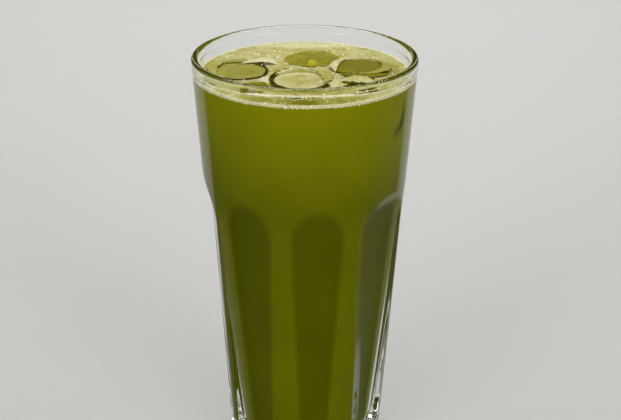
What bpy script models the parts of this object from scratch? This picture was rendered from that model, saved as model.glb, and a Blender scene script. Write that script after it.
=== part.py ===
"""Iced matcha latte in a tall pressed glass, one object for each separate piece.

The model is in metres with +Z up. Its origin is the centre of the glass's foot, on the table.
The glass is turned, and eight arched flutes are then pressed into its lower body. The drink
fills it to a little under the rim, thimble-shaped ice floats in the drink, and a thin froth
lies on the surface round the ice.
"""

import math
from dataclasses import dataclass

import bpy
from mathutils import Matrix

MM = 0.001

# Glass
GLASS_HEIGHT = 176 * MM
RIM_RADIUS = 44 * MM
OUTER_TAPER = 0.0657
LIP_WALL = 2.85 * MM
CAVITY_TAPER = 0.096
CAVITY_FLOOR = 13 * MM
CAVITY_FILLET = 7 * MM
FOOT_ROUNDING = 3.5 * MM
RECESS_RADIUS = 20 * MM
RECESS_DEPTH = 1.2 * MM
RECESS_DOME = 0.4 * MM

# Flutes pressed into the lower body
FLUTE_COUNT = 8
FLUTE_TURN = math.radians(8.4)
ARCH_TOP = GLASS_HEIGHT - 48.5 * MM
ARCH_SHOULDER = GLASS_HEIGHT - 64 * MM
FLUTE_FADE_START = 17 * MM
FLUTE_FADE_END = 6 * MM
FLUTE_HALF_WIDTH_TOP = math.radians(22.1)
FLUTE_HALF_WIDTH_LOW = math.radians(16.5)
FLUTE_DEPTH_TOP = 3.0 * MM
FLUTE_DEPTH_LOW = 4.6 * MM

# Drink, froth and the gap kept between pieces that touch
GAP = 0.3 * MM
LEVEL = GLASS_HEIGHT - 7.5 * MM
FROTH_THICKNESS = 1.0 * MM
FROTH_CLIMB = 0.6 * MM
FROTH_CLIMB_WIDTH = 2.2 * MM

# How finely the pieces are divided, round their axes and along their outlines
GLASS_STEPS = 96
ICE_STEPS = 22
FILLET_STEPS = 4
LIP_STEPS = 6
ARCH_STEPS = 7
FLUTE_STEPS = 5
FADE_STEPS = 3
FOOT_STEPS = 3
ICE_EDGE_STEPS = 3
DISH_STEPS = 4


@dataclass(frozen=True)
class Ice:
    """One piece of ice: where its top stands, how big it is, and how it leans and has melted."""

    name: str
    x: float
    y: float
    top: float
    radius: float
    height: float
    dish: float
    lean: float = 0.0
    lean_towards: float = 0.0
    melt_turn: float = 0.0


# x, y, radius, height and dish in millimetres, top in millimetres above the level, angles in degrees
ICE = (
    Ice("ice_left", -25.6, 0.4, 1.5, 11.4, 25, 2.2, 4, -80, 20),
    Ice("ice_centre", -1.7, -13.9, 2.1, 12.2, 26, 2.4, 2, -60, 75),
    Ice("ice_back", 3.0, 16.8, 0.5, 10.6, 25, 0.5, 0, 0, 130),
    Ice("ice_right", 21.8, 4.4, 1.7, 10.8, 24, 2.0, 3, 150, 205),
    Ice("ice_front_right", 20.0, -14.6, 1.2, 7.5, 16, -0.8, 3, -45, 260),
    Ice("ice_front_left", -18.6, -20.8, 1.2, 5.2, 10, -0.6, 6, -120, 310),
)
ICE_TAPER = 0.22
ICE_EDGE = 1.6 * MM
ICE_LOW_EDGE_SHARE = 0.7
ICE_MELT = 0.025
POCKET_OVERRUN = 6 * MM


def clear_scene():
    """Remove what the file holds, so that the part starts from nothing."""
    for item in list(bpy.data.objects):
        bpy.data.objects.remove(item, do_unlink=True)


def make_collection(name):
    """Give a new collection in the scene."""
    collection = bpy.data.collections.new(name)
    bpy.context.scene.collection.children.link(collection)
    return collection


def make_material(name, colour, roughness, transmission=0.0):
    """Give a Principled material with this colour and roughness."""
    material = bpy.data.materials.new(name)
    material.use_nodes = True
    shader = material.node_tree.nodes["Principled BSDF"]
    shader.inputs["Base Color"].default_value = (*colour, 1.0)
    shader.inputs["Roughness"].default_value = roughness
    shader.inputs["Metallic"].default_value = 0.0
    shader.inputs["Transmission Weight"].default_value = transmission
    material.diffuse_color = (*colour, 1.0)
    return material


def arc(radius_at, height_at, size, start, end, steps):
    """Give points on an arc about (radius_at, height_at), angles in degrees from +X."""
    points = []
    for step in range(steps + 1):
        angle = math.radians(start + (end - start) * step / steps)
        points.append((radius_at + size * math.cos(angle), height_at + size * math.sin(angle)))
    return points


def spread(start, end, steps):
    """Give evenly spaced values from start to end, both included."""
    return [start + (end - start) * step / steps for step in range(steps + 1)]


def turned(name, profile, steps, collection):
    """Turn a profile of (radius, height) pairs about Z and give the plain mesh object."""
    line = bpy.data.meshes.new(name + "_profile")
    points = [(radius, 0.0, height) for radius, height in profile]
    edges = [(index, index + 1) for index in range(len(points) - 1)]
    line.from_pydata(points, edges, [])
    lathe = bpy.data.objects.new(name + "_lathe", line)
    bpy.context.scene.collection.objects.link(lathe)
    screw = lathe.modifiers.new("turn", "SCREW")
    screw.axis = "Z"
    screw.angle = math.tau
    screw.steps = steps
    screw.render_steps = steps
    screw.use_merge_vertices = True
    screw.merge_threshold = 0.01 * MM
    screw.use_smooth_shade = True
    evaluated = lathe.evaluated_get(bpy.context.evaluated_depsgraph_get())
    mesh = bpy.data.meshes.new_from_object(evaluated)
    mesh.name = name
    bpy.data.objects.remove(lathe, do_unlink=True)
    bpy.data.meshes.remove(line)
    piece = bpy.data.objects.new(name, mesh)
    collection.objects.link(piece)
    return piece


def finish(piece, material, sharp_angle=50):
    """Give a piece its material and smooth shading."""
    piece.data.materials.clear()
    piece.data.materials.append(material)
    piece.data.shade_smooth()
    piece.data.set_sharp_from_angle(angle=math.radians(sharp_angle))


def outer_radius(height):
    """Give the glass's outer radius at a height, before the flutes are pressed."""
    return RIM_RADIUS - OUTER_TAPER * (GLASS_HEIGHT - height)


def cavity_radius(height):
    """Give the radius of the glass's inside at a height."""
    return RIM_RADIUS - LIP_WALL - CAVITY_TAPER * (GLASS_HEIGHT - height)


def smooth_step(value):
    """Ease a value from 0 to 1."""
    value = min(max(value, 0.0), 1.0)
    return value * value * (3 - 2 * value)


def flute_depth(angle, height):
    """Give how far a flute is pressed in at an angle about the glass and a height."""
    if height >= ARCH_TOP or height <= FLUTE_FADE_END:
        return 0.0
    pitch = math.tau / FLUTE_COUNT
    off_centre = (angle - FLUTE_TURN + pitch / 2) % pitch - pitch / 2
    down = max((ARCH_SHOULDER - height) / ARCH_SHOULDER, 0.0)
    half_width = FLUTE_HALF_WIDTH_TOP + (FLUTE_HALF_WIDTH_LOW - FLUTE_HALF_WIDTH_TOP) * down
    depth = FLUTE_DEPTH_TOP + (FLUTE_DEPTH_LOW - FLUTE_DEPTH_TOP) * down
    up_arch = max((height - ARCH_SHOULDER) / (ARCH_TOP - ARCH_SHOULDER), 0.0)
    reach = (off_centre / half_width) ** 2 + up_arch ** 2
    fade = smooth_step((height - FLUTE_FADE_END) / (FLUTE_FADE_START - FLUTE_FADE_END))
    return depth * fade * max(1 - reach, 0.0)


def glass_profile():
    """Give the glass's outline from the middle of the cavity floor, over the lip, to the foot."""
    lip = LIP_WALL / 2
    lip_height = GLASS_HEIGHT - lip
    lip_radius = outer_radius(lip_height) - lip
    fillet_height = CAVITY_FLOOR + CAVITY_FILLET
    fillet_radius = cavity_radius(fillet_height) - CAVITY_FILLET
    points = [(0.0, CAVITY_FLOOR)]
    points += arc(fillet_radius, fillet_height, CAVITY_FILLET, -90, 0, FILLET_STEPS)
    points += arc(lip_radius, lip_height, lip, 180, 0, LIP_STEPS)
    heights = spread(ARCH_TOP, ARCH_SHOULDER, ARCH_STEPS)
    heights += spread(ARCH_SHOULDER, FLUTE_FADE_START, FLUTE_STEPS)[1:]
    heights += spread(FLUTE_FADE_START, FLUTE_FADE_END, FADE_STEPS)[1:]
    points += [(outer_radius(height), height) for height in heights]
    foot_radius = outer_radius(FOOT_ROUNDING) - FOOT_ROUNDING
    points += arc(foot_radius, FOOT_ROUNDING, FOOT_ROUNDING, 0, -90, FOOT_STEPS)
    points.append((RECESS_RADIUS, 0.0))
    points.append((RECESS_RADIUS - RECESS_DEPTH, RECESS_DEPTH))
    points.append((0.0, RECESS_DEPTH + RECESS_DOME))
    return points


def press_flutes(piece):
    """Push the outer wall of the turned glass in along its flutes."""
    for vertex in piece.data.vertices:
        position = vertex.co
        radius = math.hypot(position.x, position.y)
        if radius < outer_radius(position.z) - GAP or position.z < FLUTE_FADE_END:
            continue
        angle = math.atan2(position.x, -position.y)
        scale = (radius - flute_depth(angle, position.z)) / radius
        position.x *= scale
        position.y *= scale


def make_glass(collection):
    """Make the pressed glass: turned body, rounded lip, thick base and arched flutes."""
    glass = turned("glass", glass_profile(), GLASS_STEPS, collection)
    glass.data.transform(Matrix.Rotation(FLUTE_TURN, 4, "Z"))
    press_flutes(glass)
    finish(glass, make_material("clear_glass", (0.93, 0.96, 0.94), 0.03, 1.0))
    return glass


def ice_profile(ice, grow=0.0):
    """Give an ice piece's outline about its own axis, with its top rim at height 0.

    A piece grown by the gap between pieces is a pocket, so it runs on past the drink's surface.
    """
    radius = ice.radius * MM + grow
    height = ice.height * MM + grow
    low_edge = min(3 * ICE_EDGE, ICE_LOW_EDGE_SHARE * ice.radius * MM)
    low_radius = radius - ICE_TAPER * (height - low_edge)
    points = []
    if grow:
        points += [(0.0, POCKET_OVERRUN), (radius, POCKET_OVERRUN), (radius, -ICE_EDGE)]
    else:
        dish = ice.dish * MM
        dish_radius = radius - 2 * ICE_EDGE
        for share in spread(0.0, 1.0, DISH_STEPS)[:-1]:
            points.append((dish_radius * share, -dish * (1 - share ** 2)))
        points += arc(radius - ICE_EDGE, -ICE_EDGE, ICE_EDGE, 90, 0, ICE_EDGE_STEPS)
    points += arc(low_radius - low_edge, low_edge - height, low_edge, 0, -90, FILLET_STEPS)
    points.append((0.0, -height))
    return points


def melt(piece, turn):
    """Make a turned piece slightly uneven round its axis, as melting leaves it."""
    for vertex in piece.data.vertices:
        angle = math.atan2(vertex.co.y, vertex.co.x) + turn
        scale = 1 + ICE_MELT * (math.cos(2 * angle) + 0.6 * math.cos(3 * angle + 1))
        vertex.co.x *= scale
        vertex.co.y *= scale


def ice_place(ice):
    """Give the matrix that puts an ice piece in the glass."""
    top = LEVEL + ice.top * MM
    towards = math.radians(ice.lean_towards)
    across = (-math.sin(towards), math.cos(towards), 0.0)
    lean = Matrix.Rotation(math.radians(ice.lean), 4, across)
    return Matrix.Translation((ice.x * MM, ice.y * MM, top)) @ lean


def make_ice(collection):
    """Make the pieces of ice that break the surface."""
    material = make_material("clear_ice", (0.62, 0.63, 0.40), 0.12)
    pieces = []
    for ice in ICE:
        piece = turned(ice.name, ice_profile(ice), ICE_STEPS, collection)
        melt(piece, math.radians(ice.melt_turn))
        piece.matrix_world = ice_place(ice)
        finish(piece, material)
        pieces.append(piece)
    return pieces


def make_pockets(collection):
    """Make the cutters that keep the drink and the froth clear of the ice."""
    pockets = []
    for ice in ICE:
        pocket = turned(ice.name + "_pocket", ice_profile(ice, GAP), ICE_STEPS, collection)
        melt(pocket, math.radians(ice.melt_turn))
        pocket.matrix_world = ice_place(ice)
        pocket.display_type = "WIRE"
        pocket.hide_render = True
        pockets.append(pocket)
    return pockets


def cut(piece, cutters):
    """Cut each cutter out of a piece with a live Boolean."""
    for cutter in cutters:
        boolean = piece.modifiers.new("clear_of_" + cutter.name, "BOOLEAN")
        boolean.operation = "DIFFERENCE"
        boolean.solver = "EXACT"
        boolean.object = cutter


def drink_profile():
    """Give the drink's outline from the middle of its surface down to the cavity floor."""
    floor = CAVITY_FLOOR + GAP
    fillet_height = CAVITY_FLOOR + CAVITY_FILLET
    fillet = CAVITY_FILLET - GAP
    fillet_radius = cavity_radius(fillet_height) - CAVITY_FILLET
    points = [(0.0, LEVEL), (cavity_radius(LEVEL) - GAP, LEVEL)]
    points += arc(fillet_radius, fillet_height, fillet, 0, -90, FILLET_STEPS)
    points.append((0.0, floor))
    return points


def make_drink(collection, pockets):
    """Make the drink as one solid, with a pocket round each piece of ice."""
    drink = turned("drink", drink_profile(), GLASS_STEPS, collection)
    drink.data.transform(Matrix.Rotation(FLUTE_TURN, 4, "Z"))
    cut(drink, pockets)
    finish(drink, make_material("matcha", (0.115, 0.135, 0.004), 0.35))
    return drink


def froth_profile():
    """Give the froth's outline: a thin sheet that climbs a little where it meets the glass."""
    low = LEVEL + GAP
    high = low + FROTH_THICKNESS
    edge = cavity_radius(low) - GAP
    crest = high + FROTH_CLIMB
    return [
        (0.0, high),
        (edge - FROTH_CLIMB_WIDTH, high),
        (edge - FROTH_CLIMB_WIDTH / 2, high + FROTH_CLIMB / 4),
        (edge, crest),
        (edge, low),
        (0.0, low),
    ]


def make_froth(collection, pockets):
    """Make the froth as one thin sheet with a hole round each piece of ice."""
    froth = turned("froth", froth_profile(), GLASS_STEPS, collection)
    froth.data.transform(Matrix.Rotation(FLUTE_TURN, 4, "Z"))
    cut(froth, pockets)
    finish(froth, make_material("pale_froth", (0.62, 0.57, 0.28), 0.6))
    return froth


def main():
    """Build every piece."""
    clear_scene()
    parts = make_collection("matcha_latte")
    cutters = make_collection("cutters")
    make_glass(parts)
    make_ice(parts)
    pockets = make_pockets(cutters)
    make_drink(parts, pockets)
    make_froth(parts, pockets)


main()
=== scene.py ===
import logging
import math
from dataclasses import dataclass
from enum import Enum

import bmesh
import bpy
import numpy as np
from mathutils import Matrix, Vector


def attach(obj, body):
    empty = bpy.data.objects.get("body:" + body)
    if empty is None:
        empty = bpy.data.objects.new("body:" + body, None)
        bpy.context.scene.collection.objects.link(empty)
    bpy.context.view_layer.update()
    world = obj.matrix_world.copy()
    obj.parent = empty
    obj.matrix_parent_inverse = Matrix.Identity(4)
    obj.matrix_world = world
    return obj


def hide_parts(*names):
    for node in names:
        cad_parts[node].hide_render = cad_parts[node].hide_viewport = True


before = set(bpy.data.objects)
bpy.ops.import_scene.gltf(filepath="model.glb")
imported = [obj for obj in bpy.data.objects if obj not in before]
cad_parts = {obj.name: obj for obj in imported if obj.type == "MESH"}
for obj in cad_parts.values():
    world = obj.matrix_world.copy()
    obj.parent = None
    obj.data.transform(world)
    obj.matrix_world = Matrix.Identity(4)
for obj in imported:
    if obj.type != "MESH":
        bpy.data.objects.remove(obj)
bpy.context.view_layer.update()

LOG = logging.getLogger("matcha_latte")
MM = 0.001

# A profile is a list of (radius, height) pairs that is turned about the glass's axis.
Profile = list[tuple[float, float]]
Colour = tuple[float, float, float, float]


class Slot(Enum):
    """The material slots of the record; the log names the one that each piece's finish belongs to."""

    GLASS = "glass"
    MATCHA = "matcha"
    ICE = "ice"
    FROTH = "froth"


def linear(code: str) -> Colour:
    """Turn an sRGB hex colour into linear values.

    Args:
        code: The colour as #RRGGBB.

    Returns:
        Linear red, green, blue, and an alpha of 1.
    """
    values = [int(code[start:start + 2], 16) / 255 for start in (1, 3, 5)]
    turned = [v / 12.92 if v <= 0.04045 else ((v + 0.055) / 1.055) ** 2.4 for v in values]
    return (*turned, 1.0)


def add(tree: bpy.types.NodeTree, kind: str, inputs: dict | None = None, stops: tuple = (),
        **settings: object) -> bpy.types.Node:
    """Add a node with its settings and links.

    Args:
        tree: The node tree that gets the node.
        kind: Blender's name for the node's type.
        inputs: Socket name or number to a plain value, or to the output that feeds it.
        stops: Pairs of position and linear colour for a colour ramp.
        settings: Properties of the node by name.

    Returns:
        The new node.
    """
    node = tree.nodes.new(kind)
    for key, value in settings.items():
        setattr(node, key, value)
    for key, value in (inputs or {}).items():
        if isinstance(value, bpy.types.NodeSocket):
            tree.links.new(value, node.inputs[key])
        else:
            node.inputs[key].default_value = value
    for number, (position, colour) in enumerate(stops):
        element = node.color_ramp.elements[number] if number < 2 else node.color_ramp.elements.new(position)
        element.position = position
        element.color = colour
    return node


def smooth_step(value: np.ndarray, low: float, high: float) -> np.ndarray:
    """Ease values from 0 at low to 1 at high.

    Args:
        value: The values to ease.
        low: Where the result is 0.
        high: Where the result is 1.

    Returns:
        The eased values.
    """
    share = np.clip((value - low) / (high - low), 0.0, 1.0)
    return share * share * (3 - 2 * share)


def arc(radius: float, height: float, size: float, start: float, end: float, steps: int) -> Profile:
    """Give points on an arc of a profile.

    Args:
        radius: Radius of the arc's centre.
        height: Height of the arc's centre.
        size: The arc's own radius.
        start: First angle in degrees, from outwards.
        end: Last angle in degrees.
        steps: Number of steps between them.

    Returns:
        The points, ends included.
    """
    angles = [math.radians(start + (end - start) * step / steps) for step in range(steps + 1)]
    return [(radius + size * math.cos(a), height + size * math.sin(a)) for a in angles]


def spread(start: float, end: float, step: float) -> list[float]:
    """Give evenly spaced values from start to end, no further apart than step.

    Args:
        start: The first value.
        end: The last value.
        step: The widest spacing.

    Returns:
        The values, both ends included.
    """
    count = max(1, math.ceil(abs(end - start) / step))
    return [start + (end - start) * number / count for number in range(count + 1)]


def lathe(name: str, profile: Profile, columns: int) -> bpy.types.Object:
    """Turn a profile about Z into one closed mesh.

    Args:
        name: Name of the piece.
        profile: The outline, with both ends on the axis.
        columns: Number of faces round the axis.

    Returns:
        The new object, linked to the scene.
    """
    angles = np.arange(columns) * math.tau / columns
    points: list[tuple[float, float, float]] = []
    rows: list[list[int]] = []
    for radius, height in profile:
        if radius < 1e-9:
            rows.append([len(points)] * columns)
            points.append((0.0, 0.0, height))
        else:
            rows.append(list(range(len(points), len(points) + columns)))
            points += [(radius * math.cos(a), radius * math.sin(a), height) for a in angles]
    faces = []
    for low, high in zip(rows, rows[1:]):
        for index in range(columns):
            after = (index + 1) % columns
            corners = [low[index], low[after], high[after], high[index]]
            faces.append(tuple(dict.fromkeys(corners)))
    mesh = bpy.data.meshes.new(name)
    mesh.from_pydata(points, [], faces)
    piece = bpy.data.objects.new(name, mesh)
    bpy.context.scene.collection.objects.link(piece)
    face_outwards(piece)
    return piece


def face_outwards(piece: bpy.types.Object) -> None:
    """Merge a piece's doubles and turn its faces outwards.

    Args:
        piece: A closed mesh object.
    """
    shape = bmesh.new()
    shape.from_mesh(piece.data)
    bmesh.ops.remove_doubles(shape, verts=shape.verts, dist=0.0005 * MM)
    bmesh.ops.recalc_face_normals(shape, faces=shape.faces)
    if shape.calc_volume(signed=True) < 0:
        bmesh.ops.reverse_faces(shape, faces=shape.faces)
    shape.to_mesh(piece.data)
    shape.free()


def places(piece: bpy.types.Object) -> np.ndarray:
    """Give a mesh's vertices as an array of x, y and z.

    Args:
        piece: A mesh object.

    Returns:
        One row for each vertex.
    """
    flat = np.empty(len(piece.data.vertices) * 3)
    piece.data.vertices.foreach_get("co", flat)
    return flat.reshape(-1, 3)


def move_to(piece: bpy.types.Object, points: np.ndarray) -> None:
    """Put a mesh's vertices at these places.

    Args:
        piece: A mesh object.
        points: One row for each vertex.
    """
    piece.data.vertices.foreach_set("co", points.ravel())
    piece.data.update()


def write_attribute(piece: bpy.types.Object, name: str, values: np.ndarray) -> None:
    """Keep one number for each vertex on a mesh.

    Args:
        piece: A mesh object.
        name: The attribute's name.
        values: One value for each vertex.
    """
    attribute = piece.data.attributes.new(name, "FLOAT", "POINT")
    attribute.data.foreach_set("value", values.astype(np.float32))


def carve(piece: bpy.types.Object, cutters: list[bpy.types.Object]) -> None:
    """Cut each cutter out of a piece, and remove the cutters.

    Args:
        piece: The mesh object that is cut.
        cutters: Closed mesh objects.
    """
    for cutter in cutters:
        boolean = piece.modifiers.new("carve", "BOOLEAN")
        boolean.operation = "DIFFERENCE"
        boolean.solver = "EXACT"
        boolean.object = cutter
    plain = bpy.data.meshes.new_from_object(piece.evaluated_get(bpy.context.evaluated_depsgraph_get()))
    piece.modifiers.clear()
    piece.data = plain
    for cutter in cutters:
        bpy.data.objects.remove(cutter, do_unlink=True)


def run_tree(piece: bpy.types.Object, tree: bpy.types.NodeTree, values: dict[str, object]) -> None:
    """Run a Geometry Nodes tree on a piece and keep the result as its plain mesh.

    Args:
        piece: The object that the tree works on.
        tree: The tree.
        values: Input name to value.
    """
    modifier = piece.modifiers.new(tree.name, "NODES")
    modifier.node_group = tree
    for item in tree.interface.items_tree:
        if item.item_type == "SOCKET" and item.in_out == "INPUT" and item.name in values:
            modifier[item.identifier] = values[item.name]
    plain = bpy.data.meshes.new_from_object(piece.evaluated_get(bpy.context.evaluated_depsgraph_get()))
    piece.modifiers.remove(modifier)
    piece.data = plain


def new_tree(name: str, inputs: dict[str, str]) -> tuple[bpy.types.NodeTree, dict[str, object]]:
    """Start a Geometry Nodes tree with named inputs.

    Args:
        name: The tree's name.
        inputs: Input name to socket type.

    Returns:
        The tree, and its input sockets by name.
    """
    tree = bpy.data.node_groups.new(name, "GeometryNodeTree")
    tree.interface.new_socket("Geometry", in_out="INPUT", socket_type="NodeSocketGeometry")
    for title, kind in inputs.items():
        tree.interface.new_socket(title, in_out="INPUT", socket_type=kind)
    tree.interface.new_socket("Geometry", in_out="OUTPUT", socket_type="NodeSocketGeometry")
    entry = add(tree, "NodeGroupInput")
    return tree, {socket.name: socket for socket in entry.outputs if socket.name}


def hand_over(piece: bpy.types.Object, slot: Slot, nodes: tuple[str, ...] = (), sharp: float = 40.0) -> None:
    """Finish a piece: smooth it, hang it on the root body, hide the CAD nodes that it stands for, and log it with its
    slot.

    Args:
        piece: The finished mesh object, with its materials.
        slot: The record's slot that its finish belongs to.
        nodes: The CAD nodes that it stands for.
        sharp: Edges that turn by more degrees than this stay sharp.
    """
    piece.data.shade_smooth()
    piece.data.set_sharp_from_angle(angle=math.radians(sharp))
    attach(piece, "root")
    if nodes:
        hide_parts(*nodes)
    piece.data.calc_loop_triangles()
    LOG.info("%s: %d triangles, slot %s", piece.name, len(piece.data.loop_triangles), slot.value)


@dataclass(frozen=True)
class Finish:
    """What a surface is made of, and how it is made."""

    name: str

    def start(self) -> tuple[bpy.types.Material, bpy.types.NodeTree, bpy.types.Node]:
        """Give an empty material, its tree and its output node."""
        material = bpy.data.materials.new(self.name)
        material.use_nodes = True
        tree = material.node_tree
        tree.nodes.clear()
        return material, tree, add(tree, "ShaderNodeOutputMaterial")

    def lit_through(self, tree: bpy.types.NodeTree, clear: bpy.types.NodeSocket, tint: str) -> bpy.types.Node:
        """Let lamps and soft light through a clear surface to what lies behind it.

        Args:
            tree: The material's tree.
            clear: The clear shader's output.
            tint: How much of the light gets through, as a colour.

        Returns:
            The node that mixes the two.
        """
        path = add(tree, "ShaderNodeLightPath")
        soft = add(tree, "ShaderNodeMath", {0: path.outputs["Is Shadow Ray"], 1: path.outputs["Is Diffuse Ray"]},
                   operation="MAXIMUM")
        through = add(tree, "ShaderNodeBsdfTransparent", {"Color": linear(tint)})
        return add(tree, "ShaderNodeMixShader", {0: soft.outputs[0], 1: clear, 2: through.outputs[0]})


@dataclass(frozen=True)
class PressedSodaLime(Finish):
    """Pressed soda-lime glass: clear, with a faint grey-green body and the slight ripple of the mould."""

    name: str = "pressed_soda_lime_glass"
    body: str = "#FAFCFA"
    through: str = "#F4F6F4"
    sheen: str = "#606060"
    ior: float = 1.52
    ripple_size: float = 16 * MM
    ripple_strength: float = 0.02

    def build(self) -> bpy.types.Material:
        """Give the glass's material."""
        material, tree, output = self.start()
        place = add(tree, "ShaderNodeTexCoord")
        ripple = add(tree, "ShaderNodeTexNoise",
                     {"Vector": place.outputs["Object"], "Scale": 1 / self.ripple_size, "Detail": 1.0})
        bump = add(tree, "ShaderNodeBump", {"Strength": self.ripple_strength, "Distance": 1 * MM,
                                            "Height": ripple.outputs["Fac"]})
        glass = add(tree, "ShaderNodeBsdfPrincipled",
                    {"Base Color": linear(self.body), "Roughness": 0.0, "IOR": self.ior,
                     "Transmission Weight": 1.0, "Specular Tint": linear(self.sheen), "Normal": bump.outputs[0]})
        mixed = self.lit_through(tree, glass.outputs[0], self.through)
        tree.links.new(mixed.outputs[0], output.inputs["Surface"])
        return material


@dataclass(frozen=True)
class MatchaAtGlass(Finish):
    """Whisked matcha and milk against the wall: matt olive green, with painted light near the level and painted shade
    lower down and behind the flutes.

    Light that meets the glass and drink at more than about 62 degrees is mirrored whole, which
    gives the clear strips along the edges of the glass.
    """

    name: str = "matcha_against_glass"
    # Colours by height, painted light and shade: lighter near the level, where light from above scatters into the
    # drink, and darker below.
    deep: str = "#656800"
    low: str = "#5F6100"
    middle: str = "#747601"
    upper: str = "#7F7F01"
    # Painted shade behind each flute, where the real flute spreads the light that reaches the drink.
    painted_shade_behind_flute: str = "#D2D6C4"
    # Painted shade: a dark line and blot at the right, standing in for a sunk piece of ice close behind the wall.
    painted_shade_beside_ice: str = "#86866C"
    index_against_glass: float = 0.885
    cloud_size: float = 26 * MM

    def build(self) -> bpy.types.Material:
        """Give the material of the drink's side and bottom."""
        material, tree, output = self.start()
        place = add(tree, "ShaderNodeTexCoord")
        axes = add(tree, "ShaderNodeSeparateXYZ", {0: place.outputs["Object"]})
        # Painted light and shade: the colour ramps with height, lighter towards the level.
        climb = add(tree, "ShaderNodeMapRange", {"Value": axes.outputs["Z"], "From Min": 13 * MM, "From Max": 168.5 * MM})
        depth = add(tree, "ShaderNodeValToRGB", {0: climb.outputs[0]}, stops=(
            (0.0, linear(self.deep)), (1.0, linear(self.upper)), (0.72, linear(self.low)), (0.89, linear(self.middle))))
        cloud = add(tree, "ShaderNodeTexNoise", {"Vector": place.outputs["Object"], "Scale": 1 / self.cloud_size,
                                                 "Detail": 2.0})
        cloudy = add(tree, "ShaderNodeMapRange", {"Value": cloud.outputs["Fac"], "From Min": 0.3, "From Max": 0.7,
                                                  "To Min": 0.93, "To Max": 1.06})
        clouded = add(tree, "ShaderNodeVectorMath", {0: depth.outputs[0], 3: cloudy.outputs[0]}, operation="SCALE")
        # Painted shade: the drink is darkened behind the flutes.
        flute = add(tree, "ShaderNodeAttribute", attribute_name="painted_shade_behind_flute")
        flute_shaded = add(tree, "ShaderNodeMix", {0: flute.outputs["Fac"], 6: clouded.outputs[0],
                                             7: linear(self.painted_shade_behind_flute)}, data_type="RGBA", blend_type="MULTIPLY")
        # Painted shade at the right, where a sunk piece of ice would lie close behind the wall.
        ice = add(tree, "ShaderNodeAttribute", attribute_name="painted_shade_beside_ice")
        shade = add(tree, "ShaderNodeMix", {0: ice.outputs["Fac"], 6: flute_shaded.outputs[2], 7: linear(self.painted_shade_beside_ice)},
                    data_type="RGBA", blend_type="MULTIPLY")
        matt = add(tree, "ShaderNodeBsdfPrincipled", {"Base Color": shade.outputs[2], "Roughness": 1.0,
                                                      "Specular IOR Level": 0.0})
        mirror = add(tree, "ShaderNodeBsdfGlossy", {"Color": linear("#FFFFFF"), "Roughness": 0.0})
        turn = add(tree, "ShaderNodeFresnel", {"IOR": self.index_against_glass})
        mixed = add(tree, "ShaderNodeMixShader", {0: turn.outputs[0], 1: matt.outputs[0], 2: mirror.outputs[0]})
        tree.links.new(mixed.outputs[0], output.inputs["Surface"])
        return material


@dataclass(frozen=True)
class MatchaSurface(Finish):
    """The open surface of the drink: wet and glossy over olive green, painted lighter than the drink's side."""

    name: str = "matcha_open_surface"
    # Painted light: lighter than the drink's side, standing in for light that the cloudy drink scatters up, also in the
    # hollows round the ice.
    colour: str = "#A8A008"
    light: str = "#C4BA14"

    def build(self) -> bpy.types.Material:
        """Give the material of the drink's top and of its pockets round the ice."""
        material, tree, output = self.start()
        place = add(tree, "ShaderNodeTexCoord")
        cloud = add(tree, "ShaderNodeTexNoise", {"Vector": place.outputs["Object"], "Scale": 1 / (7 * MM), "Detail": 2.0})
        shade = add(tree, "ShaderNodeValToRGB", {0: cloud.outputs["Fac"]}, stops=(
            (0.35, linear(self.colour)), (0.7, linear(self.light))))
        wet = add(tree, "ShaderNodeBsdfPrincipled", {"Base Color": shade.outputs[0], "Roughness": 0.12, "IOR": 1.34,
                                                     "Specular IOR Level": 0.25})
        tree.links.new(wet.outputs[0], output.inputs["Surface"])
        return material


@dataclass(frozen=True)
class ClearIce(Finish):
    """Melting machine-made ice: clear, wet, uneven where it has melted, with a little cloud in it."""

    name: str = "clear_melting_ice"
    body: str = "#EEF1D8"
    through: str = "#E9EDD2"
    sheen: str = "#707070"
    ior: float = 1.31

    def build(self) -> bpy.types.Material:
        """Give the ice's material."""
        material, tree, output = self.start()
        place = add(tree, "ShaderNodeTexCoord")
        melt = add(tree, "ShaderNodeTexNoise", {"Vector": place.outputs["Object"], "Scale": 1 / (4 * MM), "Detail": 2.0})
        bump = add(tree, "ShaderNodeBump", {"Strength": 0.25, "Distance": 0.6 * MM, "Height": melt.outputs["Fac"]})
        ice = add(tree, "ShaderNodeBsdfPrincipled", {"Base Color": linear(self.body), "Roughness": 0.04,
                                                     "IOR": self.ior, "Transmission Weight": 1.0,
                                                     "Specular Tint": linear(self.sheen), "Normal": bump.outputs[0]})
        mixed = self.lit_through(tree, ice.outputs[0], self.through)
        tree.links.new(mixed.outputs[0], output.inputs["Surface"])
        return material


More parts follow.
